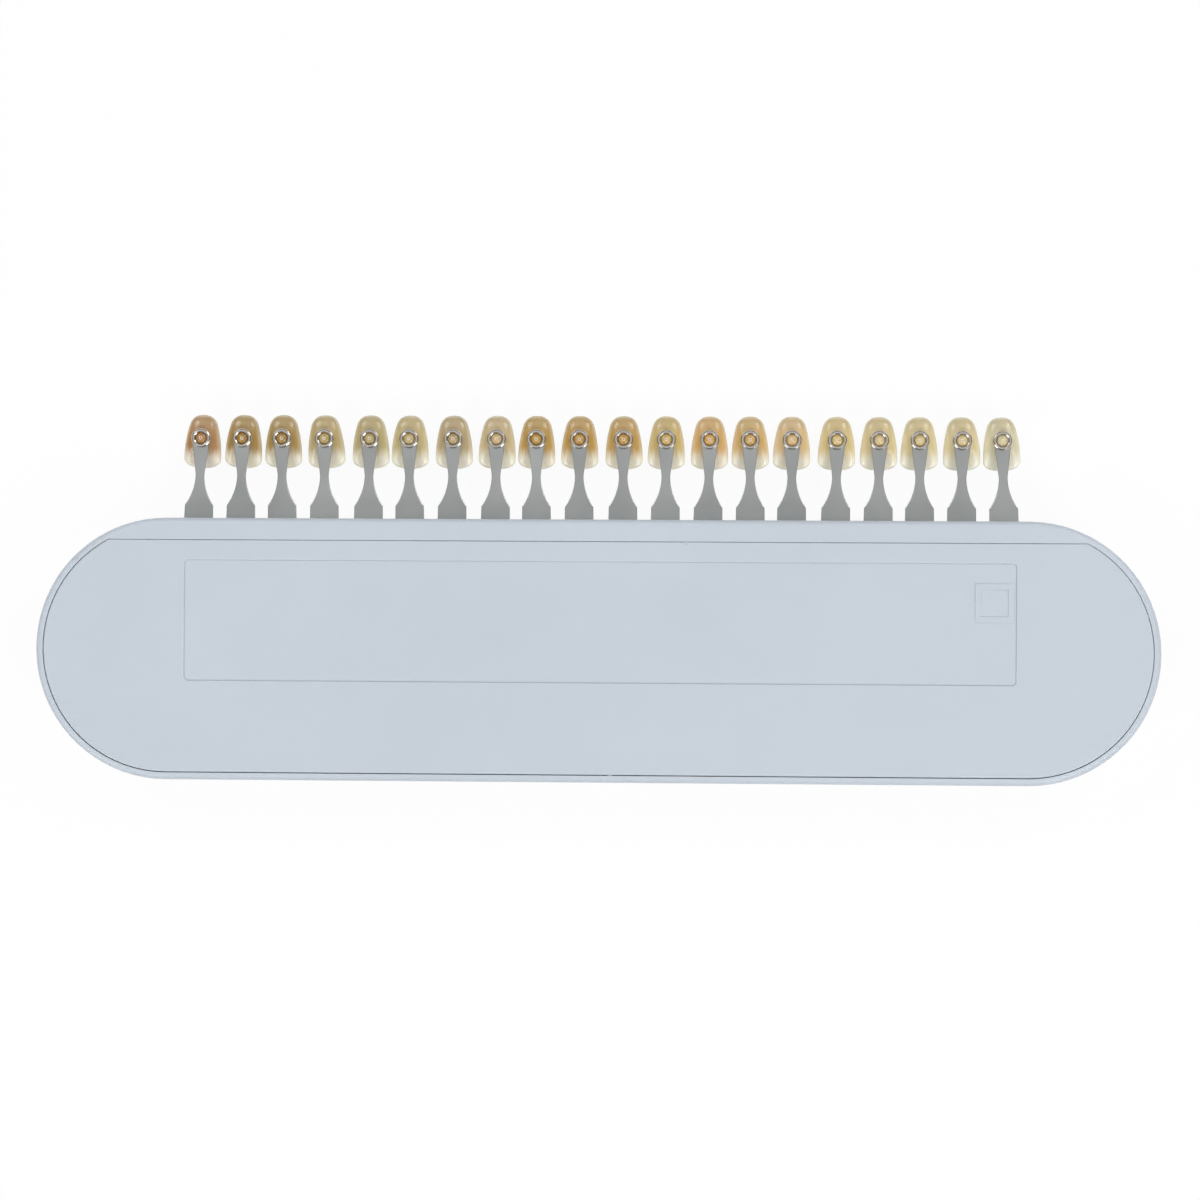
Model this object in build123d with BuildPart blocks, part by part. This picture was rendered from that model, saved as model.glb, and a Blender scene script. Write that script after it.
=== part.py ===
"""Dental shade guide: a flat stadium-shaped holder with a row of steel tabs along its top edge.

Each tab is a stamped strip whose upper end is an eye, and a sample tooth is staked through the eye
by a peg on its back. A tab pulls out of its slot along its own length. The holder is a front shell
with a back cover snapped into it, and a slotted rail between the two that grips the tabs.

Millimetres. The holder lies on its front face: X runs along it, +Y points to the teeth, +Z is the
back. The origin is the centre of the front face. Teeth face down, their backs and the tabs' eyes up.
"""

import os
from math import asin, atan2, cos, hypot, pi, radians, sin

from build123d import *

os.makedirs("parts", exist_ok=True)

# Holder
case_length = 225.0
case_width = 52.6
case_depth = 14.0
front_edge_radius = 3.0
rim_edge_radius = 1.1
floor_thickness = 2.0
wall_thickness = 2.4
rim_width = 1.45  # what shows of the front shell round the back cover
lip_width = 4.35  # strip of the front shell over the slots, from the top edge to the cover
inner_corner_radius = 1.0
row_centre_x = 0.78  # the row of slots lies a little to the right of the holder's middle

# Back cover
cover_thickness = 2.0
cover_edge_radius = 0.3
cover_clearance = 0.1
cover_push_right = 0.02  # the cover lies pushed to the right and up against the lip
cover_push_up = 0.05
panel_length = 166.2  # shallow rectangular panel sunk into the cover
panel_width = 24.2
panel_depth = 0.3
panel_centre_x = 0.66
panel_centre_y = 5.7
panel_corner_radius = 0.8
panel_lip_radius = 0.2
frame_side = 7.7  # plain square ridge in the panel's upper right corner
frame_ridge_width = 1.15
frame_ridge_height = 0.15
frame_to_panel_end = 0.45
frame_to_panel_top = 4.0
stiffener_height = 1.2
stiffener_width = 1.2
stiffener_count = 7
stiffener_pitch = 26.0
stiffener_length = 27.0

# Locating nib on the cover's lower edge, and a scooped release nick in its top edge
locator_x = 3.2
locator_width = 0.8
locator_clearance = 0.03
nick_x = 18.1
nick_radius = 1.2
nick_depth = 0.2

# Snap hooks along the cover's lower edge, and tongues that tuck under the lip
hook_count = 3
hook_pitch = 60.0
hook_width = 8.0
hook_thickness = 1.2
hook_length = 4.6
hook_catch = 0.5
hook_catch_height = 1.4
hook_clearance = 0.15
tongue_count = 5
tongue_pitch = 38.0
tongue_width = 12.0
tongue_thickness = 1.0
tongue_reach = 1.5
tongue_root = 3.0

# Tabs
tab_pitch = 8.57
strip_thickness = 0.6
strip_bottom_height = 7.0  # underside of the strips above the front face
insertion_depth = 16.0
blade_width = 5.84
blade_corner_radius = 0.8
shoulder_width = 5.74
neck_width = 1.74
shoulder_height = 2.75  # above the holder's top edge, as are the next two
neck_height = 8.9
eye_height = 16.3
head_radius = 1.78
bead_outer_radius = 1.97
eye_radius = 1.36
bead_height = 0.52

# Where each tab sits in its loose slot, from the left: sideways shift and lean to the right
tab_shifts = [
    -0.12, -0.1, -0.22, -0.2, 0.18, 0.0, 0.0, 0.22, -0.05, 0.0,
    0.26, 0.24, 0.26, 0.2, -0.08, 0.18, 0.15, -0.14, -0.3, -0.4,
]  # fmt: skip
tab_leans = [
    1.6, 0.8, -0.5, -0.3, 0.5, -0.8, 0.5, 0.5, -0.4, -0.1,
    0.2, 0.5, 0.9, -0.3, 0.1, 0.9, 0.6, 0.0, 0.3, -1.3,
]  # fmt: skip
# How far each tooth is turned on its own tab
tooth_turns = [
    1.2, 1.5, 1.1, -2.2, -0.8, 1.6, -0.8, 0.7, 1.6, 1.0,
    -0.8, 0.4, -0.4, -0.4, 0.5, -0.3, -0.6, -0.6, -1.8, -0.7,
]  # fmt: skip

# Teeth, modelled about the centre of the eye, with depths measured down from the strip
tooth_height = 10.9
tooth_above_eye = 4.9
incisal_width = 7.2
cervical_width = 4.9
side_bulge = 1.25
cervical_closing = 0.2  # shares of the height over which the two ends close
incisal_closing = 0.16
cervical_fullness = 2.9
incisal_fullness = 2.3
root_closing = 0.35  # the thickness closes over a longer stretch than the width
root_fullness = 2.2
body_thickness = 3.85
incisal_thickness = 1.0
thinning_start = 0.3  # share of the height where the tooth is thickest
thinning_power = 1.5
cervical_depth = 2.2  # of the middle of the tooth
incisal_depth = 2.65
section_fullness = 2.35
station_count = 13
section_point_count = 16
seat_radius = 1.7
seat_root = 1.2
peg_clearance = 0.03
peg_below_bead = 0.26
peg_dome_rise = 0.24
nib_radius = 0.38
nib_height = 0.09
nib_dimple_depth = 0.07

# Slots in the top wall and the rail behind them
slot_side_clearance = 0.65
slot_face_clearance = 0.25
slot_mouth_chamfer = 0.3
rail_skin = 1.5
rail_back_wall = 2.0
rail_end_margin = 0.5
rail_gap = 0.1
blade_gap = 0.05  # strip to the pocket's floor, and to the pad of its spring finger
blade_stop_gap = 0.2
finger_setback = 3.0  # of the finger's root behind the top wall
finger_width = 2.6
finger_length = 8.5
finger_slit = 0.7
finger_pad_length = 1.4
support_count = 6
support_width = 1.5
rail_stop_height = 3.0  # how far the ribs round the rail rise past its underside

# Derived places
tab_count = int((case_length - case_width) / tab_pitch)  # along the straight of the top edge
top_edge = case_width / 2
cover_underside = case_depth - cover_thickness
lip_edge = top_edge - lip_width
wall_inner = top_edge - wall_thickness
slot_width = blade_width + 2 * slot_side_clearance
slot_height = strip_thickness + 2 * slot_face_clearance
slot_middle = strip_bottom_height + strip_thickness / 2
pocket_floor = strip_bottom_height - blade_gap
pocket_roof = strip_bottom_height + strip_thickness + slot_face_clearance
rail_bottom = pocket_floor - rail_skin
rail_top = pocket_roof + rail_skin
rail_front = wall_inner - rail_gap
pocket_end = top_edge - insertion_depth - blade_stop_gap
rail_rear = pocket_end - rail_back_wall
rail_length = tab_count * tab_pitch + 2 * rail_end_margin
rail_middle = (rail_front + rail_rear) / 2
support_pitch = tab_pitch * tab_count / (support_count - 1)
seat_shrink = rim_width + cover_clearance
cover_top_edge = lip_edge - cover_clearance


def spaced(count, pitch):
    """Positions of count things a pitch apart, centred on zero."""
    return [(index - (count - 1) / 2) * pitch for index in range(count)]


with BuildPart() as front_shell:
    with BuildSketch():
        SlotOverall(case_length, case_width)
    extrude(amount=case_depth)
    fillet(front_shell.faces().sort_by(Axis.Z)[0].edges(), front_edge_radius)
    fillet(front_shell.faces().sort_by(Axis.Z)[-1].edges(), rim_edge_radius)
    # Cavity, with its floor corner rounded
    with BuildSketch(Plane.XY.offset(floor_thickness)):
        SlotOverall(case_length - 2 * wall_thickness, case_width - 2 * wall_thickness)
    extrude(amount=cover_underside - floor_thickness, mode=Mode.SUBTRACT)
    cavity_floor = front_shell.faces().filter_by(Plane.XY).sort_by(Axis.Z).group_by(Axis.Z)[1]
    fillet(cavity_floor.edges(), inner_corner_radius)
    # Seat of the cover, which stops at the lip over the slots
    with BuildSketch(Plane.XY.offset(cover_underside)):
        SlotOverall(case_length - 2 * rim_width, case_width - 2 * rim_width)
        with Locations((0, lip_edge)):
            Rectangle(
                case_length,
                case_width,
                align=(Align.CENTER, Align.MIN),
                mode=Mode.SUBTRACT,
            )
    extrude(amount=cover_thickness, mode=Mode.SUBTRACT)
    # Slot for each tab through the top wall
    with BuildSketch(Plane.XZ.offset(-top_edge)):
        with Locations((row_centre_x, slot_middle)):
            with GridLocations(tab_pitch, 0, tab_count, 1):
                Rectangle(slot_width, slot_height)
    extrude(amount=wall_thickness, mode=Mode.SUBTRACT)
    outer_wall = front_shell.faces().filter_by(Plane.XZ).sort_by(Axis.Y)[-1]
    mouths = [edge for wire in outer_wall.inner_wires() for edge in wire.edges()]
    chamfer(mouths, slot_mouth_chamfer)
    # Ribs that carry the rail, and the ribs that stop it behind and at both ends
    with BuildSketch(Plane.XY.offset(floor_thickness)):
        with Locations((row_centre_x, rail_middle)):
            with GridLocations(support_pitch, 0, support_count, 1):
                Rectangle(support_width, rail_front - rail_rear)
    extrude(amount=rail_bottom - floor_thickness)
    with BuildSketch(Plane.XY.offset(floor_thickness)):
        with Locations((row_centre_x, rail_rear - rail_gap - support_width / 2)):
            Rectangle(rail_length + 2 * (rail_gap + support_width), support_width)
        end_reach = rail_length / 2 + rail_gap + support_width / 2
        with Locations((row_centre_x - end_reach, rail_rear), (row_centre_x + end_reach, rail_rear)):
            end_length = wall_inner + wall_thickness / 2 - rail_rear
            Rectangle(support_width, end_length, align=(Align.CENTER, Align.MIN))
    extrude(amount=rail_bottom + rail_stop_height - floor_thickness)
    # Pockets in the lower wall that the cover's hooks snap into
    hook_outer = -wall_inner + hook_clearance
    catch_top = cover_underside - hook_length + hook_catch_height
    pocket_height = hook_catch_height + 2 * hook_clearance
    pocket_middle = catch_top + hook_clearance - pocket_height / 2
    with BuildSketch(Plane.XZ.offset(wall_inner)):
        with Locations((0, pocket_middle)):
            with GridLocations(hook_pitch, 0, hook_count, 1):
                Rectangle(hook_width + 4 * hook_clearance, pocket_height)
    extrude(amount=hook_catch + hook_clearance, mode=Mode.SUBTRACT)
front_shell.part.label = "front_shell"

with BuildPart() as back_cover:
    with BuildSketch(Plane.XY.offset(cover_underside)):
        SlotOverall(case_length - 2 * seat_shrink, case_width - 2 * seat_shrink)
        with Locations((0, cover_top_edge)):
            Rectangle(
                case_length,
                case_width,
                align=(Align.CENTER, Align.MIN),
                mode=Mode.SUBTRACT,
            )
    extrude(amount=cover_thickness)
    fillet(back_cover.faces().sort_by(Axis.Z)[-1].edges(), cover_edge_radius)
    with BuildSketch(Plane.XY.offset(cover_underside)):
        with Locations((locator_x, -top_edge + seat_shrink)):
            locator_reach = cover_clearance + cover_push_up - locator_clearance
            Rectangle(locator_width, 2 * locator_reach)
    extrude(amount=cover_thickness - cover_edge_radius / 2)
    with Locations((nick_x, cover_top_edge, case_depth + nick_radius - nick_depth)):
        Sphere(nick_radius, mode=Mode.SUBTRACT)
    # Sunk panel with a soft lip, and the square ridge that stands in it
    with BuildSketch(Plane.XY.offset(case_depth)):
        with Locations((panel_centre_x, panel_centre_y)):
            RectangleRounded(panel_length, panel_width, panel_corner_radius)
    extrude(amount=-panel_depth, mode=Mode.SUBTRACT)
    back_face = back_cover.faces().filter_by(Plane.XY).sort_by(Axis.Z)[-1]
    fillet(back_face.inner_wires()[0].edges(), panel_lip_radius)
    panel_level = case_depth - panel_depth
    frame_x = panel_centre_x + panel_length / 2 - frame_to_panel_end - frame_side / 2
    frame_y = panel_centre_y + panel_width / 2 - frame_to_panel_top - frame_side / 2
    with BuildSketch(Plane.XY.offset(panel_level)):
        with Locations((frame_x, frame_y)):
            Rectangle(frame_side, frame_side)
            inner_side = frame_side - 2 * frame_ridge_width
            Rectangle(inner_side, inner_side, mode=Mode.SUBTRACT)
    extrude(amount=frame_ridge_height)
    # Stiffening ribs inside, clear of the rail and the hooks
    stiffener_middle = rail_rear - 3 * support_width - stiffener_length / 2
    with BuildSketch(Plane.XY.offset(cover_underside)):
        with Locations((0, stiffener_middle)):
            with GridLocations(stiffener_pitch, 0, stiffener_count, 1):
                Rectangle(stiffener_width, stiffener_length)
    extrude(amount=-stiffener_height)
    # Feet that hold the rail down
    with BuildSketch(Plane.XY.offset(cover_underside)):
        with Locations((row_centre_x, rail_rear + rail_back_wall / 2)):
            with GridLocations(support_pitch, 0, support_count, 1):
                Rectangle(support_width, rail_back_wall)
    extrude(amount=rail_top - cover_underside)
    # Tongues that tuck under the lip
    with BuildSketch(Plane.XY.offset(cover_underside)):
        with Locations((0, cover_top_edge + (tongue_reach - tongue_root) / 2)):
            with GridLocations(tongue_pitch, 0, tongue_count, 1):
                Rectangle(tongue_width, tongue_reach + tongue_root)
    extrude(amount=-tongue_thickness)
    # Snap hooks: a leg down the inside of the lower wall with a wedge that catches its pocket
    hook_tip = cover_underside - hook_length
    leg_outer = hook_outer - cover_push_up
    for hook_x in spaced(hook_count, hook_pitch):
        with BuildSketch(Plane.YZ.offset(hook_x - hook_width / 2)):
            with BuildLine():
                Polyline(
                    (leg_outer, cover_underside),
                    (leg_outer, catch_top),
                    (leg_outer - hook_catch, catch_top),
                    (leg_outer, hook_tip),
                    (leg_outer + hook_thickness, hook_tip),
                    (leg_outer + hook_thickness, cover_underside),
                    close=True,
                )
            make_face()
        extrude(amount=hook_width)
back_cover.part.label = "back_cover"


with BuildPart() as slot_rail:
    with BuildSketch(Plane.XY.offset(rail_bottom)):
        with Locations((row_centre_x, rail_middle)):
            Rectangle(rail_length, rail_front - rail_rear)
    extrude(amount=rail_top - rail_bottom)
    # Blind pocket for each tab
    with BuildSketch(Plane.XY.offset(pocket_floor)):
        with Locations((row_centre_x, (rail_front + pocket_end) / 2)):
            with GridLocations(tab_pitch, 0, tab_count, 1):
                Rectangle(slot_width, rail_front - pocket_end)
    extrude(amount=pocket_roof - pocket_floor, mode=Mode.SUBTRACT)
    # Spring finger over each pocket, cut free on three sides, with a pad that presses the tab
    finger_root = rail_front - finger_setback
    with BuildSketch(Plane.XY.offset(pocket_roof)):
        with Locations((row_centre_x, finger_root)):
            with GridLocations(tab_pitch, 0, tab_count, 1):
                Rectangle(
                    finger_width + 2 * finger_slit,
                    finger_length + finger_slit,
                    align=(Align.CENTER, Align.MAX),
                )
                Rectangle(
                    finger_width,
                    finger_length,
                    align=(Align.CENTER, Align.MAX),
                    mode=Mode.SUBTRACT,
                )
    extrude(amount=rail_skin, mode=Mode.SUBTRACT)
    with BuildSketch(Plane.XY.offset(pocket_roof)):
        with Locations((row_centre_x, finger_root - finger_length + finger_pad_length / 2)):
            with GridLocations(tab_pitch, 0, tab_count, 1):
                Rectangle(finger_width, finger_pad_length)
    extrude(amount=-(slot_face_clearance - blade_gap))
slot_rail.part.label = "slot_rail"

# One tab, from which the row is made: its Y axis runs up the strip from the holder's top edge
with BuildPart() as tab_blank:
    with BuildSketch():
        with BuildLine():
            half_blade = blade_width / 2
            half_shoulder = shoulder_width / 2
            half_neck = neck_width / 2
            waist_rise = neck_height - shoulder_height
            waist_inset = half_shoulder - half_neck
            waist_radius = (waist_rise**2 + waist_inset**2) / (2 * waist_inset)
            # The flare runs straight from the neck to where it touches the head
            neck_to_eye = hypot(half_neck, eye_height - neck_height)
            flare = asin(head_radius / neck_to_eye) - atan2(half_neck, eye_height - neck_height)
            touch = (head_radius * cos(flare), eye_height - head_radius * sin(flare))
            Polyline(
                (0, -insertion_depth),
                (half_blade, -insertion_depth),
                (half_blade, 0),
                (half_shoulder, shoulder_height),
            )
            RadiusArc((half_shoulder, shoulder_height), (half_neck, neck_height), waist_radius)
            Line((half_neck, neck_height), touch)
            ThreePointArc(
                touch,
                (head_radius * cos(pi / 4), eye_height + head_radius * sin(pi / 4)),
                (0, eye_height + head_radius),
            )
            mirror(about=Plane.YZ)
        make_face()
        corners = vertices().group_by(Axis.Y)[0]
        fillet(corners, blade_corner_radius)
    extrude(amount=strip_thickness)
    # Raised bead round the eye, and the eye itself
    with BuildSketch(Plane.YZ):
        with BuildLine():
            crown = (bead_outer_radius - eye_radius) / 2
            crown_base = strip_thickness + bead_height - crown
            Polyline(
                (eye_height + bead_outer_radius, crown_base),
                (eye_height + bead_outer_radius, 0),
                (eye_height + eye_radius, 0),
                (eye_height + eye_radius, crown_base),
            )
            ThreePointArc(
                (eye_height + eye_radius, crown_base),
                (eye_height + eye_radius + crown, crown_base + crown),
                (eye_height + bead_outer_radius, crown_base),
            )
        make_face()
    revolve(axis=Axis((0, eye_height, 0), (0, 0, 1)))
    with Locations((0, eye_height, 0)):
        Hole(eye_radius)


def closing(share, closing_share, fullness):
    """Narrowing towards an end, from 0 at the end to 1 where the closing starts."""
    inward = max(0.0, 1 - share / closing_share)
    return (1 - inward**fullness) ** (1 / fullness)


def tooth_section(share):
    """Width, thickness and depth of the tooth at a share of its height from the cervical end."""
    ends = closing(share, cervical_closing, cervical_fullness)
    ends *= closing(1 - share, incisal_closing, incisal_fullness)
    width = cervical_width + (incisal_width - cervical_width) * share
    width = (width + side_bulge * sin(pi * share)) * ends
    thinning = max(0.0, (share - thinning_start) / (1 - thinning_start)) ** thinning_power
    thickness = body_thickness + (incisal_thickness - body_thickness) * thinning
    thickness *= closing(share, root_closing, root_fullness)
    depth = cervical_depth + (incisal_depth - cervical_depth) * share**2
    return width, thickness, depth


def oval_point(width, thickness, angle):
    """Point on an oval slightly squarer than an ellipse."""
    across, up = cos(angle), sin(angle)
    power = 2 / section_fullness
    x = width / 2 * abs(across) ** power * (1 if across > 0 else -1)
    y = thickness / 2 * abs(up) ** power * (1 if up > 0 else -1)
    return x, y


# One tooth, from which the row is made: stations crowd towards its two ends
with BuildPart() as tooth_blank:
    first_share = 0.004
    for station in range(station_count):
        spread = (1 - cos(pi * station / (station_count - 1))) / 2
        share = first_share + (1 - 2 * first_share) * spread
        width, thickness, depth = tooth_section(share)
        station_y = tooth_above_eye - tooth_height * share
        station_plane = Plane(origin=(0, station_y, -depth), x_dir=(1, 0, 0), z_dir=(0, -1, 0))
        angles = [2 * pi * k / section_point_count for k in range(section_point_count)]
        with BuildSketch(station_plane):
            with BuildLine():
                Spline([oval_point(width, thickness, angle) for angle in angles], periodic=True)
            make_face()
    loft()
    # Seat against the strip, and the domed peg with the dimpled nib left where it was cast
    peg_radius = eye_radius - peg_clearance
    peg_shoulder = strip_thickness + bead_height - peg_below_bead
    peg_top = peg_shoulder + peg_dome_rise
    nib_top = peg_top + nib_height
    with BuildSketch(Plane.XZ):
        with BuildLine():
            Polyline(
                (nib_radius, peg_top),
                (nib_radius, nib_top),
                (0, nib_top - nib_dimple_depth),
                (0, -seat_root),
                (seat_radius, -seat_root),
                (seat_radius, 0),
                (peg_radius, 0),
                (peg_radius, peg_shoulder),
            )
            ThreePointArc(
                (peg_radius, peg_shoulder),
                (peg_radius * 0.72, peg_shoulder + peg_dome_rise * 0.62),
                (nib_radius, peg_top),
            )
        make_face()
    revolve(axis=Axis.Z)

export_step(front_shell.part, "parts/front_shell.step")
pushed_cover = back_cover.part.moved(Location((cover_push_right, cover_push_up, 0)))
export_step(pushed_cover, "parts/back_cover.step")
export_step(slot_rail.part, "parts/slot_rail.step")

# The row of tabs, the lightest shade first, from the right
for number, slot_x in enumerate(reversed(spaced(tab_count, tab_pitch)), start=1):
    place = -number % len(tab_shifts)
    lean = radians(tab_leans[place])
    turn = lean + radians(tooth_turns[place])
    strip_plane = Plane(
        origin=(row_centre_x + slot_x + tab_shifts[place], top_edge, strip_bottom_height),
        x_dir=(cos(lean), -sin(lean), 0),
        z_dir=(0, 0, 1),
    )
    with BuildPart(strip_plane) as tab:
        add(tab_blank.part)
    tab.part.label = f"tab_{number:02}"
    export_step(tab.part, f"parts/tab_{number:02}.step")

    tooth_plane = Plane(
        origin=strip_plane.from_local_coords(Vector(0, eye_height, 0)),
        x_dir=(cos(turn), -sin(turn), 0),
        z_dir=(0, 0, 1),
    )
    with BuildPart(tooth_plane) as tooth:
        add(tooth_blank.part)
    tooth.part.label = f"tooth_{number:02}"
    export_step(tooth.part, f"parts/tooth_{number:02}.step")
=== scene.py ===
# %% [markdown]
# # A dental shade guide, seen from its back
#
# A dentist holds this guide beside a patient's mouth to choose the colour of a crown. The holder is
# a flat moulded case. Steel tabs plug into its top edge, and each one carries a sample tooth in its
# own shade. The guide lies on its front, so we look at the back cover and at the backs of the teeth.
#
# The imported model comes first. It fixes where each part is. The case parts keep their CAD shape and
# get a finish, and finer pieces stand in for the tabs and the teeth.

# %% Load the frame
import math

import bmesh
import bpy
from mathutils import Matrix, Vector


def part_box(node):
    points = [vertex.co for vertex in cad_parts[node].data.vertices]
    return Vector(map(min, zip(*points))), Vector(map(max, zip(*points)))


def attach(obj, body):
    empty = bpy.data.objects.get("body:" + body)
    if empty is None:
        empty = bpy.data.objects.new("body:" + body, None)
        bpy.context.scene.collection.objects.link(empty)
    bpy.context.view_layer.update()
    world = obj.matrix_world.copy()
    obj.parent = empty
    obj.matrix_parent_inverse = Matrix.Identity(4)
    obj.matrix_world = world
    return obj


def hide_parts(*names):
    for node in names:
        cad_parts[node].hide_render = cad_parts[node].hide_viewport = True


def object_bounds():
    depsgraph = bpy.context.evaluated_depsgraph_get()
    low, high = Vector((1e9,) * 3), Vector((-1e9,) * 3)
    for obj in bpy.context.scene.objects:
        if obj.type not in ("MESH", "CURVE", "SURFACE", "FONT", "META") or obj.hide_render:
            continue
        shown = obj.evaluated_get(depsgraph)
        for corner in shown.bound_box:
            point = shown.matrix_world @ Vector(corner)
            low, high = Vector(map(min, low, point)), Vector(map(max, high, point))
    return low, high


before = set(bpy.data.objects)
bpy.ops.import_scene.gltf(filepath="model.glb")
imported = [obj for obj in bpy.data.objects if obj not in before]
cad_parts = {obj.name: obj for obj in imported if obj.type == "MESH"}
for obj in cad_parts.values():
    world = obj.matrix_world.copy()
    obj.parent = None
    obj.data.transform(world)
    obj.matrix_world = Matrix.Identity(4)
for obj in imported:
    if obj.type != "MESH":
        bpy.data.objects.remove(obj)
cad_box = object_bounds()
MM = 0.001
TAB_COUNT = sum(name.startswith("tab_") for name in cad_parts)
print("tabs:", TAB_COUNT, "box in mm:", [[round(v / MM, 1) for v in corner] for corner in cad_box])

# %% [markdown]
# ## The camera
#
# The photo looks almost straight down from about 60 cm. The case's outline, the sunk panel, the tab
# eyes and the tooth tips lie at different heights, so together they fix the place, the tilt and the
# lens. The tiny tilt matters: it rolls the row a little and makes the right end slightly larger.

# %% Camera
CAMERA_MM = (24.7, 12.0, 600.0)
CAMERA_TILT_DEG = (-0.16, 2.31, 0.32)
FOCAL_PIXELS = 2940.6
PHOTO_PIXELS = 1200
SENSOR_MM = 36.0

scene = bpy.context.scene
camera_data = bpy.data.cameras.new("camera")
camera_data.sensor_width = SENSOR_MM
camera_data.lens = FOCAL_PIXELS * SENSOR_MM / PHOTO_PIXELS
camera = bpy.data.objects.new("camera", camera_data)
camera.location = Vector(CAMERA_MM) * MM
camera.rotation_euler = [math.radians(angle) for angle in CAMERA_TILT_DEG]
scene.collection.objects.link(camera)
scene.camera = camera
scene.view_settings.view_transform = "Standard"
print("lens:", round(camera_data.lens, 1), "mm")

# %% [markdown]
# ## Helpers for materials
#
# Colours are written as sRGB hex values, as a colour picker shows them, and one function turns them
# to the linear values that the shader wants. Another adds one node with its settings and links: a
# socket given as a value is linked, and anything else is set as a constant.


# %% Material helpers
def linear(hex_colour):
    """The linear RGBA of an sRGB colour written as six hex digits."""
    channels = [int(hex_colour[i : i + 2], 16) / 255 for i in (0, 2, 4)]
    return [c / 12.92 if c <= 0.04045 else ((c + 0.055) / 1.055) ** 2.4 for c in channels] + [1.0]


def add(tree, kind, settings=None, sockets=None):
    """Adds a node to the tree. A socket's name or number maps to a constant or to an output."""
    made = tree.nodes.new(kind)
    for name, value in (settings or {}).items():
        setattr(made, name, value)
    for name, value in (sockets or {}).items():
        if isinstance(value, bpy.types.NodeSocket):
            tree.links.new(value, made.inputs[name])
        else:
            made.inputs[name].default_value = value
    return made


def new_material(name):
    """An empty material: its node tree and its Principled BSDF."""
    material = bpy.data.materials.new(name)
    material.use_nodes = True
    tree = material.node_tree
    return material, tree, tree.nodes["Principled BSDF"]


def blend(start, end, amount):
    return [a + (b - a) * amount for a, b in zip(start, end)]


def ramp(tree, value, low, high):
    """Smooth step of a value from 0 at low to 1 at high."""
    return add(
        tree,
        "ShaderNodeMapRange",
        {"interpolation_type": "SMOOTHSTEP"},
        {"Value": value, "From Min": low, "From Max": high},
    ).outputs["Result"]


def mixed(tree, factor, first, second):
    """Colour mixed by a factor. Each colour is a constant or an output."""
    node = add(tree, "ShaderNodeMix", {"data_type": "RGBA"}, {0: factor, 6: first, 7: second})
    return node.outputs[2]


def worked(tree, operation, first, second=0.0):
    """One arithmetic step on two values."""
    return add(tree, "ShaderNodeMath", {"operation": operation}, {0: first, 1: second}).outputs[0]


# %% [markdown]
# ## The case: moulded ABS
#
# The front shell and the back cover are injection moulded in ABS of a pale blue grey. The tool's
# faces are finely spark-eroded, which leaves a satin surface: highlights are broad and soft, and up
# close the skin has a very fine grain. Plastic flow also leaves the gloss slightly cloudy, so the
# roughness wanders over a few centimetres.
#
# The real grain is about 0.05 mm, too fine for one pixel, so it is drawn at 0.25 mm. A little light
# goes into the plastic and comes out again, which softens its narrow seams.

# %% ABS
GRAIN_MM = 0.25
GRAIN_HEIGHT_MM = 0.02
CLOUD_MM = 30.0
ABS_IOR = 1.53
ABS_SCATTER_MM = 0.8


def moulded_abs(name, hex_colour, roughness):
    material, tree, shader = new_material(name)
    place = add(tree, "ShaderNodeTexCoord").outputs["Object"]
    grain = add(
        tree,
        "ShaderNodeTexNoise",
        sockets={"Vector": place, "Scale": 1 / (GRAIN_MM * MM), "Detail": 2.0, "Roughness": 0.6},
    )
    cloud = add(
        tree,
        "ShaderNodeTexNoise",
        sockets={"Vector": place, "Scale": 1 / (CLOUD_MM * MM), "Detail": 3.0, "Roughness": 0.5},
    )
    gloss = add(
        tree,
        "ShaderNodeMapRange",
        sockets={
            "Value": cloud.outputs["Fac"],
            "From Min": 0.3,
            "From Max": 0.7,
            "To Min": roughness - 0.04,
            "To Max": roughness + 0.05,
        },
    )
    base = linear(hex_colour)
    darker, lighter = ([c * share for c in base[:3]] + [1.0] for share in (0.97, 1.03))
    shade = mixed(tree, cloud.outputs["Fac"], darker, lighter)
    skin = add(
        tree,
        "ShaderNodeBump",
        sockets={"Height": grain.outputs["Fac"], "Strength": 0.12, "Distance": GRAIN_HEIGHT_MM * MM},
    )
    tree.links.new(shade, shader.inputs["Base Color"])
    tree.links.new(gloss.outputs["Result"], shader.inputs["Roughness"])
    tree.links.new(skin.outputs["Normal"], shader.inputs["Normal"])
    shader.inputs["IOR"].default_value = ABS_IOR
    shader.inputs["Subsurface Weight"].default_value = 0.5
    shader.inputs["Subsurface Radius"].default_value = (1.0, 1.0, 1.0)
    shader.inputs["Subsurface Scale"].default_value = ABS_SCATTER_MM * MM
    return material


case_abs = moulded_abs("satin_moulded_abs", "C9D1D9", 0.42)
rail_abs = moulded_abs("natural_moulded_abs", "AEB4B8", 0.5)


def finish_node(name, material):
    """Gives a CAD node's object its material."""
    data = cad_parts[name].data
    data.materials.clear()
    data.materials.append(material)


finish_node("front_shell", case_abs)
finish_node("back_cover", case_abs)
finish_node("slot_rail", rail_abs)
print("case finished:", case_abs.name, rail_abs.name)

# %% [markdown]
# ## The tabs: stamped stainless strip
#
# A tab is blanked from rolled strip, so its faces carry fine lines along its length. Tumbling leaves
# them a soft grey, a little lighter on one tab than on the next. The eye is coined: the press
# squeezes the metal into a bead, which comes out bright, so it mirrors each lamp as a separate
# glint. Two finishes on one piece.

# %% Steel
ROLL_LINE_MM = 0.06
ROLL_LENGTH_MM = 6.0
TONE_MM = 14.0
RIPPLE_MM = 0.6


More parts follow.
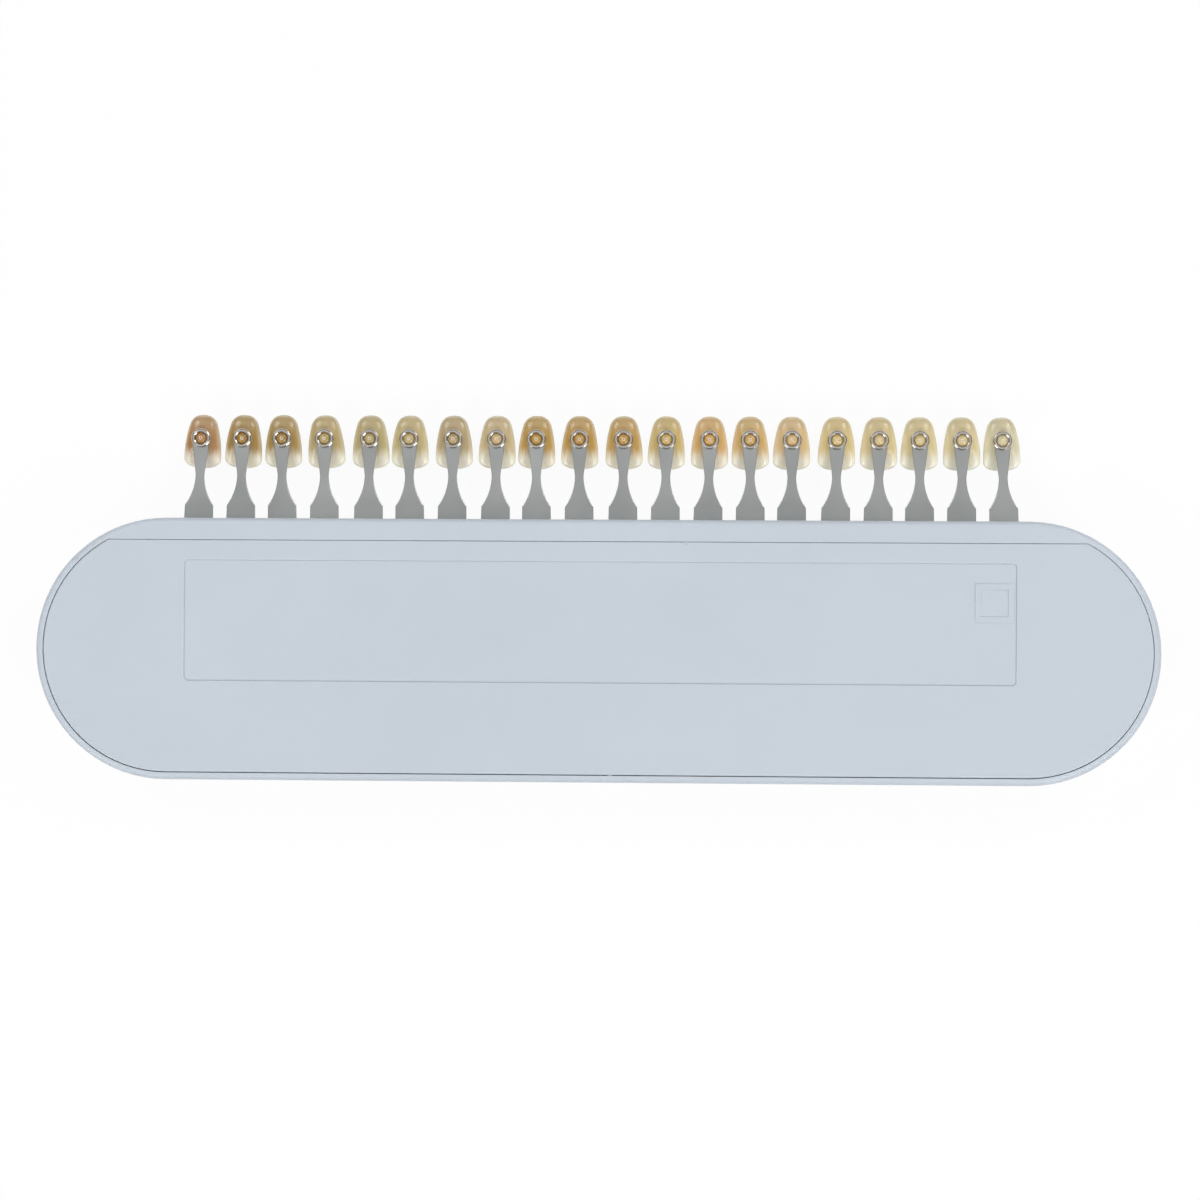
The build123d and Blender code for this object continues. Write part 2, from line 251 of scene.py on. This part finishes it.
def rolled_steel():
    material, tree, shader = new_material("tumbled_rolled_stainless")
    place = add(tree, "ShaderNodeTexCoord").outputs["Object"]
    across, along = 1 / (ROLL_LINE_MM * MM), 1 / (ROLL_LENGTH_MM * MM)
    stretch = add(
        tree, "ShaderNodeMapping", sockets={"Vector": place, "Scale": (across, along, across)}
    )
    lines = add(
        tree,
        "ShaderNodeTexNoise",
        sockets={"Vector": stretch.outputs["Vector"], "Scale": 1.0, "Detail": 2.0},
    )
    gloss = add(
        tree,
        "ShaderNodeMapRange",
        sockets={"Value": lines.outputs["Fac"], "To Min": 0.3, "To Max": 0.44},
    )
    score = add(
        tree,
        "ShaderNodeBump",
        sockets={"Height": lines.outputs["Fac"], "Strength": 0.15, "Distance": 0.01 * MM},
    )
    drift = add(tree, "ShaderNodeTexNoise", sockets={"Vector": place, "Scale": 1 / (TONE_MM * MM)})
    tone = mixed(tree, drift.outputs["Fac"], linear("A2A5A4"), linear("C6C9C6"))
    tree.links.new(tone, shader.inputs["Base Color"])
    shader.inputs["Metallic"].default_value = 1.0
    tree.links.new(gloss.outputs["Result"], shader.inputs["Roughness"])
    tree.links.new(score.outputs["Normal"], shader.inputs["Normal"])
    return material


def coined_steel():
    material, tree, shader = new_material("coined_bright_stainless")
    place = add(tree, "ShaderNodeTexCoord").outputs["Object"]
    ripple = add(
        tree,
        "ShaderNodeTexNoise",
        sockets={"Vector": place, "Scale": 1 / (RIPPLE_MM * MM), "Detail": 1.0},
    )
    dents = add(
        tree,
        "ShaderNodeBump",
        sockets={"Height": ripple.outputs["Fac"], "Strength": 0.25, "Distance": 0.05 * MM},
    )
    shader.inputs["Base Color"].default_value = linear("DAD3C8")
    shader.inputs["Metallic"].default_value = 1.0
    shader.inputs["Roughness"].default_value = 0.18
    tree.links.new(dents.outputs["Normal"], shader.inputs["Normal"])
    return material


strip_steel = rolled_steel()
bead_steel = coined_steel()
print("steel:", strip_steel.name, bead_steel.name)

# %% [markdown]
# ### One tab, drawn flat and then thickened
#
# A blanking die cuts the outline, so the outline is drawn first. Half of it is enough: a straight
# blade, a shoulder, a long hollow curve down to the neck, and a flare that runs to the eye. The
# curve comes from spinning one vertex about the centre of its arc. Mirroring gives the other half,
# and extruding gives the thickness.

# %% Tab shape
STRIP_THICKNESS = 0.6 * MM
INSERTION = 16.0 * MM
NO_WIDTH = 0.001 * MM
BLADE_HALF = 2.92 * MM
SHOULDER_HALF = 2.87 * MM
SHOULDER_Y = 2.75 * MM
NECK_HALF = 0.87 * MM
NECK_Y = 8.9 * MM
EYE_Y = 16.3 * MM
HEAD_RADIUS = 1.78 * MM
BEAD_OUTER = 1.97 * MM
EYE_RADIUS = 1.1 * MM
BEAD_HEIGHT = 0.52 * MM
BLADE_CORNER = 0.8 * MM
EDGE_BREAK = 0.14 * MM
ARC_STEPS = 12


def chain_to(bm, start, *points):
    """Extends an open chain of edges from a vertex through the points, and returns its end."""
    for x, y in points:
        end = bm.verts.new((x, y, 0.0))
        bm.edges.new((start, end))
        start = end
    return start


def blank_strip():
    """The flat blank: blade, waist and flare, ending inside the ring of the bead."""
    bm = bmesh.new()
    rise, inset = NECK_Y - SHOULDER_Y, SHOULDER_HALF - NECK_HALF
    waist_radius = (rise**2 + inset**2) / (2 * inset)
    foot = bm.verts.new((0.0, -INSERTION, 0.0))
    blade = [(BLADE_HALF, -INSERTION), (BLADE_HALF, 0.0)]
    shoulder = chain_to(bm, foot, *blade, (SHOULDER_HALF, SHOULDER_Y))
    swept = bmesh.ops.spin(
        bm,
        geom=[shoulder],
        cent=(NECK_HALF + waist_radius, NECK_Y, 0.0),
        axis=(0.0, 0.0, -1.0),
        angle=math.asin(rise / waist_radius),
        steps=ARC_STEPS,
    )
    neck = next(v for v in swept["geom_last"] if isinstance(v, bmesh.types.BMVert))
    reach = math.hypot(NECK_HALF, EYE_Y - NECK_Y)
    flare = math.asin(HEAD_RADIUS / reach) - math.atan2(NECK_HALF, EYE_Y - NECK_Y)
    inner = (EYE_RADIUS + BEAD_OUTER) / 2
    touch = (HEAD_RADIUS * math.cos(flare), EYE_Y - HEAD_RADIUS * math.sin(flare))
    tuck = chain_to(bm, neck, touch, (inner * math.cos(flare), EYE_Y - inner * math.sin(flare)))
    bmesh.ops.spin(
        bm,
        geom=[tuck],
        cent=(0.0, EYE_Y, 0.0),
        axis=(0.0, 0.0, -1.0),
        angle=math.pi / 2 - flare,
        steps=ARC_STEPS,
    )
    bmesh.ops.mirror(bm, geom=bm.verts[:] + bm.edges[:], axis="X", merge_dist=NO_WIDTH)
    bmesh.ops.remove_doubles(bm, verts=bm.verts, dist=NO_WIDTH)
    ends = [v for v in bm.verts if v.co.y < NO_WIDTH - INSERTION]
    for corner in [v for v in ends if abs(v.co.x) > BLADE_HALF / 2]:
        bmesh.ops.bevel(
            bm,
            geom=[corner],
            offset=BLADE_CORNER,
            segments=6,
            profile=0.5,
            affect="VERTICES",
            material=-1,
        )
    flat = bmesh.ops.contextual_create(bm, geom=bm.edges[:])["faces"]
    raised = bmesh.ops.extrude_face_region(bm, geom=flat, use_keep_orig=True)
    top = [v for v in raised["geom"] if isinstance(v, bmesh.types.BMVert)]
    bmesh.ops.translate(bm, verts=top, vec=(0.0, 0.0, STRIP_THICKNESS))
    bmesh.ops.recalc_face_normals(bm, faces=bm.faces)
    rims = [e for e in bm.edges if len({round(abs(f.normal.z)) for f in e.link_faces}) == 2]
    bmesh.ops.bevel(
        bm,
        geom=rims,
        offset=EDGE_BREAK,
        segments=2,
        profile=0.5,
        affect="EDGES",
        material=-1,
        clamp_overlap=True,
    )
    return bm


strip = blank_strip()
print("strip faces:", len(strip.faces))

# %% [markdown]
# ### The coined bead
#
# The bead is a body of revolution, so only its section is drawn: a circle, whose lower half is then
# drawn down to the foot as two upright walls. Spinning the section a full turn about the eye's
# centre makes the ring.

# %% Bead
BEAD_STEPS = 72


def add_bead(bm):
    """Spins the bead's section about the eye and gives the ring the second material."""
    crown = (BEAD_OUTER - EYE_RADIUS) / 2
    crown_base = STRIP_THICKNESS + BEAD_HEIGHT - crown
    middle = EYE_Y + EYE_RADIUS + crown
    before = set(bm.faces)
    section = bmesh.ops.create_circle(bm, segments=16, radius=crown, cap_ends=False)["verts"]
    bmesh.ops.rotate(bm, verts=section, matrix=Matrix.Rotation(math.pi / 2, 3, "Y"))
    bmesh.ops.translate(bm, verts=section, vec=(0.0, middle, crown_base))
    for vert in section:
        if vert.co.z < crown_base - crown / 4:
            vert.co.z = 0.0
            if abs(vert.co.y - middle) > crown / 8:
                vert.co.y = middle + math.copysign(crown, vert.co.y - middle)
    bmesh.ops.remove_doubles(bm, verts=section, dist=NO_WIDTH)
    loop = [e for e in bm.edges if not e.link_faces]
    bmesh.ops.spin(
        bm,
        geom=loop + list({v for e in loop for v in e.verts}),
        cent=(0.0, EYE_Y, 0.0),
        axis=(0.0, 0.0, 1.0),
        angle=2 * math.pi,
        steps=BEAD_STEPS,
        use_merge=True,
    )
    ring = [f for f in bm.faces if f not in before]
    bmesh.ops.recalc_face_normals(bm, faces=ring)
    for face in ring:
        face.material_index = 1
    return ring


ring_faces = add_bead(strip)
strip_mesh = bpy.data.meshes.new("tab_blank")
strip.to_mesh(strip_mesh)
strip.free()
print("bead faces:", len(ring_faces))

# %% [markdown]
# ### Where each tab lies
#
# The slots are a little wider than the blades, so each tab leans its own way, and each tooth is
# turned a little on its peg. The CAD node says where the eye is: the crown of its bead is a circle,
# and the mean of that circle's points is the centre of the eye.

# %% Places of the tabs
TAB_LEAN_DEG = (
    [-1.3, 0.3, 0.0, 0.6, 0.9, 0.1, -0.3, 0.9, 0.5, 0.2]
    + [-0.1, -0.4, 0.5, 0.5, -0.8, 0.5, -0.3, -0.5, 0.8, 1.6]
)
TOOTH_TURN_DEG = (
    [-0.7, -1.8, -0.6, -0.6, -0.3, 0.5, -0.4, -0.4, 0.4, -0.8]
    + [1.0, 1.6, 0.7, -0.8, 1.6, -0.8, -2.2, 1.1, 1.5, 1.2]
)


def eye_centre(node):
    """Centre of a tab's eye, level with the underside of its strip."""
    low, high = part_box(node)
    crown = {
        tuple(round(c, 7) for c in v.co)
        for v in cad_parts[node].data.vertices
        if v.co.z > high[2] - 0.002 * MM
    }
    middle = sum((Vector(p) for p in crown), Vector()) / len(crown)
    return Vector((middle.x, middle.y, low[2]))


def place_of(index):
    """The eye's centre, and the tab's and the tooth's turns about it, of tab number index + 1."""
    lean = -math.radians(TAB_LEAN_DEG[index])
    turn = lean - math.radians(TOOTH_TURN_DEG[index])
    return eye_centre(f"tab_{index + 1:02}"), lean, turn


def put_piece(name, mesh, matrix, materials, number, stands_for):
    """A copy of the mesh at its place, riding on its own tab's body."""
    data = mesh.copy()
    data.transform(matrix)
    piece = bpy.data.objects.new(name, data)
    scene.collection.objects.link(piece)
    for material in materials:
        data.materials.append(material)
    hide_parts(stands_for)
    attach(piece, f"shade_tab_{number:02}")
    return piece


for index in range(TAB_COUNT):
    eye, lean, turn = place_of(index)
    matrix = Matrix.Translation(eye) @ Matrix.Rotation(lean, 4, "Z")
    matrix @= Matrix.Translation((0.0, -EYE_Y, 0.0))
    put_piece(
        f"steel_tab_{index + 1:02}",
        strip_mesh,
        matrix,
        (strip_steel, bead_steel),
        index + 1,
        f"tab_{index + 1:02}",
    )
print("tabs placed:", TAB_COUNT)

# %% [markdown]
# ## The teeth: acrylic layered like enamel over dentin
#
# A sample tooth is pressed from resin in layers. A dentin-coloured core carries the shade, a paler
# and slightly milky enamel wraps it at the sides, and at the biting edge there is enamel alone, which
# lets light through. Fingers of core reach into it. That end's near-white colour is partly the paler
# enamel and partly painted light: the white floor seen through the thin edge is painted into it. The
# peg at the back is core resin only, seen through its full depth, so it looks darker and more amber.
#
# A UV map carries the layers: U runs across the tooth and V from its neck to its biting edge, so
# the pattern follows every tooth, however it leans. The peg has its own place on the map, past the
# tooth's, where U is the distance from the peg's axis. A pale ring round the crater is a painted
# highlight for the glint of its rim.

# %% Shades
# Core colour of each tooth, lightest first
SHADES = (
    "E4DCB7", "E6D7A8", "E6D6A3", "E6D29F", "E7D196", "E7C995", "DEBA79",
    "E1B774", "D9C07E", "CDA760", "CBA459", "C7A257", "D6C195", "C2AE83",
    "D0BF8B", "C5B582", "C6B17C", "B49658", "B18F4F", "BB8F5F",
)  # fmt: skip
ENAMEL = "E9E6D2"
EDGE_ENAMEL_AND_PAINTED_BACKLIGHT = "FBF6E4"
NECK_RESIN = "C4B597"
PEG_TINT = (0.82, 0.78, 0.7)
PAINTED_RIM_HIGHLIGHT = "EFE6D6"
STREAKS_ACROSS = 15.0
STREAKS_ALONG = 1.2
STREAK_REACH = 0.22
PEG_LAYER = 2.0
CRATER_SHARE = 0.26
RESIN_IOR = 1.49
RESIN_SCATTER_MM = 0.8


def layered_resin(number, shade):
    material, tree, shader = new_material(f"layered_acrylic_shade_{number:02}")
    core = linear(shade)
    enamel = blend(core, linear(ENAMEL), 0.5)
    # Near-white biting edge: paler enamel, with the white floor's light through it painted in
    edge = blend(core, linear(EDGE_ENAMEL_AND_PAINTED_BACKLIGHT), 0.85)
    neck = blend([c * 0.88 for c in core[:3]] + [1.0], linear(NECK_RESIN), 0.4)
    peg = [c * t for c, t in zip(core, PEG_TINT)] + [1.0]

    uv = add(tree, "ShaderNodeUVMap", {"uv_map": "layers"}).outputs["UV"]
    across, along, _ = add(tree, "ShaderNodeSeparateXYZ", sockets={0: uv}).outputs
    side = worked(tree, "ABSOLUTE", worked(tree, "SUBTRACT", across, 0.5))
    streak_scale = (STREAKS_ACROSS, STREAKS_ALONG, 1.0)
    streak_map = add(
        tree,
        "ShaderNodeMapping",
        sockets={"Vector": uv, "Scale": streak_scale, "Location": (number, 0, 0)},
    )
    streaks = add(
        tree,
        "ShaderNodeTexNoise",
        sockets={"Vector": streak_map.outputs["Vector"], "Scale": 1.0, "Detail": 2.0},
    ).outputs["Fac"]
    reach = worked(tree, "ADD", along, worked(tree, "MULTIPLY", streaks, -STREAK_REACH))

    toward_edge = ramp(tree, reach, 0.47, 0.74)
    toward_side = ramp(tree, side, 0.37, 0.5)
    body = mixed(tree, ramp(tree, along, 0.42, 0.1), core, neck)
    body = mixed(tree, ramp(tree, along, 0.09, 0.0), body, enamel)
    body = mixed(tree, toward_side, body, enamel)
    body = mixed(tree, toward_edge, body, edge)

    # On the peg, U is the distance from its axis instead
    from_rim = worked(tree, "ABSOLUTE", worked(tree, "SUBTRACT", across, CRATER_SHARE))
    # Painted highlight: a pale ring round the crater's rim stands for its glint
    rim_highlight_colour = blend(peg, linear(PAINTED_RIM_HIGHLIGHT), 0.7)
    peg_with_rim_highlight = mixed(tree, ramp(tree, from_rim, 0.12, 0.04), peg, rim_highlight_colour)
    on_peg = worked(tree, "GREATER_THAN", along, (1 + PEG_LAYER) / 2)
    tree.links.new(mixed(tree, on_peg, body, peg_with_rim_highlight), shader.inputs["Base Color"])

    shader.inputs["Roughness"].default_value = 0.2
    shader.inputs["IOR"].default_value = RESIN_IOR
    shader.inputs["Subsurface Weight"].default_value = 0.35
    shader.inputs["Subsurface Radius"].default_value = (1.0, 0.75, 0.5)
    shader.inputs["Subsurface Scale"].default_value = RESIN_SCATTER_MM * MM
    return material


resins = [layered_resin(number, shade) for number, shade in enumerate(SHADES[:TAB_COUNT], start=1)]
print("shades:", len(resins))

# %% [markdown]
# ### The form of a tooth
#
# Sculptors block a tooth out as an egg and then cut its planes. Here the egg is a sphere with its
# poles at the neck and at the biting edge. Each of its rings takes the width, the thickness and the
# depth of the tooth at that height, and a squared oval section. Shallow lobes then shape the front,
# and a hollow between two ridges shapes the back.

# %% Tooth form
TOOTH_HEIGHT = 10.9 * MM
ABOVE_EYE = 4.9 * MM
END_SHARE = 0.004
INCISAL_WIDTH = 7.5 * MM
CERVICAL_WIDTH = 4.55 * MM
SIDE_BULGE = 1.1 * MM
CERVICAL_CLOSING, CERVICAL_FULLNESS = 0.2, 2.5
INCISAL_CLOSING, INCISAL_FULLNESS = 0.18, 2.3
ROOT_CLOSING, ROOT_FULLNESS = 0.35, 2.2
BODY_THICKNESS = 3.85 * MM
INCISAL_THICKNESS = 1.0 * MM
THINNING_START, THINNING_POWER = 0.3, 1.5
CERVICAL_DEPTH = 2.2 * MM
INCISAL_DEPTH = 2.65 * MM
SECTION_FULLNESS = 2.35
LOBE_DEPTH = 0.1 * MM
HOLLOW_DEPTH = 0.35 * MM
EDGE_ROUNDING = 0.04
EGG_SEGMENTS, EGG_RINGS = 64, 48


def closing(share, closing_share, fullness):
    """How far a section has opened, 0 to 1, at a share of the height from an end that closes."""
    inward = max(0.0, 1 - share / closing_share)
    return max(0.0, 1 - inward**fullness) ** (1 / fullness)


def smooth(value, low, high):
    """Smooth step from 0 at low to 1 at high."""
    t = min(1.0, max(0.0, (value - low) / (high - low)))
    return t * t * (3 - 2 * t)


def section_at(share):
    """Half width, half thickness and depth below the strip, at a share of the height."""
    width = CERVICAL_WIDTH + (INCISAL_WIDTH - CERVICAL_WIDTH) * share
    width += SIDE_BULGE * math.sin(math.pi * share)
    width *= closing(share, CERVICAL_CLOSING, CERVICAL_FULLNESS)
    width *= closing(1 - share, INCISAL_CLOSING, INCISAL_FULLNESS)
    thinning = max(0.0, (share - THINNING_START) / (1 - THINNING_START)) ** THINNING_POWER
    thickness = BODY_THICKNESS + (INCISAL_THICKNESS - BODY_THICKNESS) * thinning
    thickness *= closing(share, ROOT_CLOSING, ROOT_FULLNESS)
    thickness *= closing(1 - share, EDGE_ROUNDING, 2.0)
    depth = CERVICAL_DEPTH + (INCISAL_DEPTH - CERVICAL_DEPTH) * share**2
    return width / 2, thickness / 2, depth


def shape_tooth():
    """The tooth, with its eye's centre at the origin and its layers mapped."""
    bm = bmesh.new()
    layers = bm.loops.layers.uv.new("layers")
    bmesh.ops.create_uvsphere(bm, u_segments=EGG_SEGMENTS, v_segments=EGG_RINGS, radius=1.0)
    power = 2 / SECTION_FULLNESS
    layer_of = {}
    for vert in bm.verts:
        share = (1 - vert.co.z) / 2
        half_width, half_thickness, depth = section_at(share)
        angle = math.atan2(vert.co.y, vert.co.x)
        across = math.copysign(abs(math.cos(angle)) ** power, math.cos(angle))
        up = math.copysign(abs(math.sin(angle)) ** power, math.sin(angle))
        z = up * half_thickness
        if up < 0:
            z += LOBE_DEPTH * math.cos(3 * math.pi * across) * up * smooth(share, 0.3, 0.7)
        else:
            hollow = max(0.0, 1 - (across / 0.8) ** 2) ** 2 * smooth(share, 0.6, 0.78)
            z -= HOLLOW_DEPTH * hollow * (1 - smooth(share, 0.9, 1.0)) * up
        layer_of[vert] = (0.5 + across / 2, share)
        drop = TOOTH_HEIGHT * (END_SHARE + (1 - 2 * END_SHARE) * share)
        vert.co = (across * half_width, ABOVE_EYE - drop, z - depth)
    for face in bm.faces:
        for loop in face.loops:
            loop[layers].uv = layer_of[loop.vert]
    bmesh.ops.recalc_face_normals(bm, faces=bm.faces)
    return bm


tooth = shape_tooth()
print("tooth faces:", len(tooth.faces))

# %% [markdown]
# ### Seat and peg
#
# The peg goes through the eye and is pressed down in it while warm, so its top is a low dome. A
# small crater is left in the middle, where the tooth was held during the pressing. The pale ring in
# the middle of each eye is a painted highlight on the crater's rim, set in the tooth's material.

# %% Peg
SEAT_RADIUS = 1.7 * MM
SEAT_ROOT = 1.2 * MM
PEG_RADIUS = EYE_RADIUS - 0.03 * MM
PEG_SHOULDER = STRIP_THICKNESS + BEAD_HEIGHT - 0.4 * MM
DOME_RISE = 0.34 * MM
DOME_STEPS = 6
PEG_BREAK = 0.08 * MM
CRATER_RADIUS = 0.38 * MM
CRATER_RIM = 0.09 * MM
# The rim and the floor of the crater: shares of its radius and of its rim's height
CRATER_SECTION = ((0.93, 0.7), (0.8, 1.0), (0.62, 0.8), (0.4, 0.1), (0.2, -0.25), (0.0, -0.35))
PEG_STEPS = 48


def add_peg(bm):
    """Spins the seat and the domed peg about the eye's axis, and maps its layers."""
    layers = bm.loops.layers.uv["layers"]
    before = set(bm.faces)
    points = [(0.0, -SEAT_ROOT), (SEAT_RADIUS, -SEAT_ROOT), (SEAT_RADIUS, 0.0), (PEG_RADIUS, 0.0)]
    points += [(PEG_RADIUS, PEG_SHOULDER - PEG_BREAK), (PEG_RADIUS - PEG_BREAK / 2, PEG_SHOULDER)]
    for step in range(1, DOME_STEPS + 1):
        inward = step / DOME_STEPS
        radius = PEG_RADIUS - (PEG_RADIUS - CRATER_RADIUS) * inward
        points.append((radius, PEG_SHOULDER + DOME_RISE * math.sin(inward * math.pi / 2)))
    top = PEG_SHOULDER + DOME_RISE
    points += [(CRATER_RADIUS * out, top + CRATER_RIM * up) for out, up in CRATER_SECTION]
    verts = [bm.verts.new((x, 0.0, z)) for x, z in points]
    edges = [bm.edges.new(pair) for pair in zip(verts, verts[1:])]
    bmesh.ops.spin(
        bm,
        geom=verts + edges,
        cent=(0.0, 0.0, 0.0),
        axis=(0.0, 0.0, 1.0),
        angle=2 * math.pi,
        steps=PEG_STEPS,
        use_merge=True,
    )
    made = [f for f in bm.faces if f not in before]
    bmesh.ops.remove_doubles(bm, verts=list({v for f in made for v in f.verts}), dist=NO_WIDTH)
    made = [f for f in bm.faces if f not in before]
    bmesh.ops.recalc_face_normals(bm, faces=made)
    for face in made:
        for loop in face.loops:
            loop[layers].uv = (loop.vert.co.xy.length / PEG_RADIUS, PEG_LAYER)


add_peg(tooth)
for face in tooth.faces:
    face.smooth = True
tooth_mesh = bpy.data.meshes.new("tooth_blank")
tooth.to_mesh(tooth_mesh)
tooth.free()

for index in range(TAB_COUNT):
    eye, lean, turn = place_of(index)
    put_piece(
        f"sample_tooth_{index + 1:02}",
        tooth_mesh,
        Matrix.Translation(eye) @ Matrix.Rotation(turn, 4, "Z"),
        (resins[index],),
        index + 1,
        f"tooth_{index + 1:02}",
    )
print("teeth placed:", TAB_COUNT)

# %% [markdown]
# ## The studio
#
# The guide lies on a white sweep under four softboxes, one towards each corner. They keep the
# shadows almost away, and each bead shows them as four glints. Straight above is the ceiling, which
# is what the flat steel mirrors, so the tabs come out grey. The sweep and the room look white to
# the camera, as in the photo, and the sweep keeps a trace of the guide's shadow.

# %% Floor and lamps
FLOOR_SIDE = 3.0
BOX_SIDE = 0.5
BOX_DISTANCE = 0.95
BOX_HEIGHT = 0.8
BOX_WATTS = 4.35
FLOOR_GAP = 0.02 * MM
FIBRE_MM = 2.0
FLOOR_GLOW_SHARE = 0.94
CEILING_FROM, CEILING_TO = 0.72, 0.92
ROOM = (0.14, 0.14, 0.15, 1.0)
CEILING = (0.64, 0.64, 0.65, 1.0)
WHITE = (1.0, 1.0, 1.0, 1.0)


def white_sweep():
    material, tree, shader = new_material("white_paper_sweep")
    paper = add(tree, "ShaderNodeTexCoord").outputs["Object"]
    fibre = add(tree, "ShaderNodeTexNoise", sockets={"Vector": paper, "Scale": 1 / (FIBRE_MM * MM)})
    tone = mixed(tree, fibre.outputs["Fac"], linear("F4F4F4"), linear("FAFAFA"))
    tree.links.new(tone, shader.inputs["Base Color"])
    shader.inputs["Roughness"].default_value = 0.9
    glow = add(tree, "ShaderNodeEmission", sockets={"Color": WHITE, "Strength": 1.0})
    path = add(tree, "ShaderNodeLightPath").outputs
    seen = worked(tree, "MAXIMUM", path["Is Camera Ray"], path["Is Glossy Ray"])
    seen = worked(tree, "MAXIMUM", seen, path["Is Transmission Ray"])
    share = worked(tree, "MULTIPLY", seen, FLOOR_GLOW_SHARE)
    both = add(
        tree,
        "ShaderNodeMixShader",
        sockets={0: share, 1: shader.outputs[0], 2: glow.outputs[0]},
    )
    tree.links.new(both.outputs[0], tree.nodes["Material Output"].inputs["Surface"])
    return material


floor_bm = bmesh.new()
bmesh.ops.create_grid(floor_bm, x_segments=1, y_segments=1, size=FLOOR_SIDE / 2)
floor_data = bpy.data.meshes.new("sweep")
floor_bm.to_mesh(floor_data)
floor_bm.free()
floor_data.transform(Matrix.Translation((0.0, 0.0, cad_box[0][2] - FLOOR_GAP)))
floor_data.materials.append(white_sweep())
floor = bpy.data.objects.new("sweep", floor_data)
scene.collection.objects.link(floor)


def softbox(name, x, y, watts):
    """A square lamp over one corner of the table, facing the guide."""
    data = bpy.data.lights.new(name, "AREA")
    data.size = BOX_SIDE
    data.energy = watts
    lamp = bpy.data.objects.new(name, data)
    lamp.location = (x, y, BOX_HEIGHT)
    aim = Vector((0.0, 0.02, 0.0)) - lamp.location
    lamp.rotation_euler = aim.to_track_quat("-Z", "Y").to_euler()
    scene.collection.objects.link(lamp)


reach = BOX_DISTANCE / math.sqrt(2)
for name, x, y, share in (
    ("back_left", -reach, reach, 0.85),
    ("back_right", reach, reach, 0.95),
    ("front_left", -reach, -reach, 1.0),
    ("front_right", reach, -reach, 1.3),
):
    softbox(name, x, y, BOX_WATTS * share)

world = bpy.data.worlds.new("studio")
scene.world = world
world.use_nodes = True
sky = world.node_tree
direction = add(sky, "ShaderNodeTexCoord").outputs["Generated"]
upward = add(sky, "ShaderNodeSeparateXYZ", sockets={0: direction}).outputs["Z"]
room = mixed(sky, ramp(sky, upward, CEILING_FROM, CEILING_TO), ROOM, CEILING)
seen = add(sky, "ShaderNodeLightPath").outputs["Is Camera Ray"]
shown = mixed(sky, seen, room, WHITE)
sky.links.new(shown, sky.nodes["Background"].inputs["Color"])
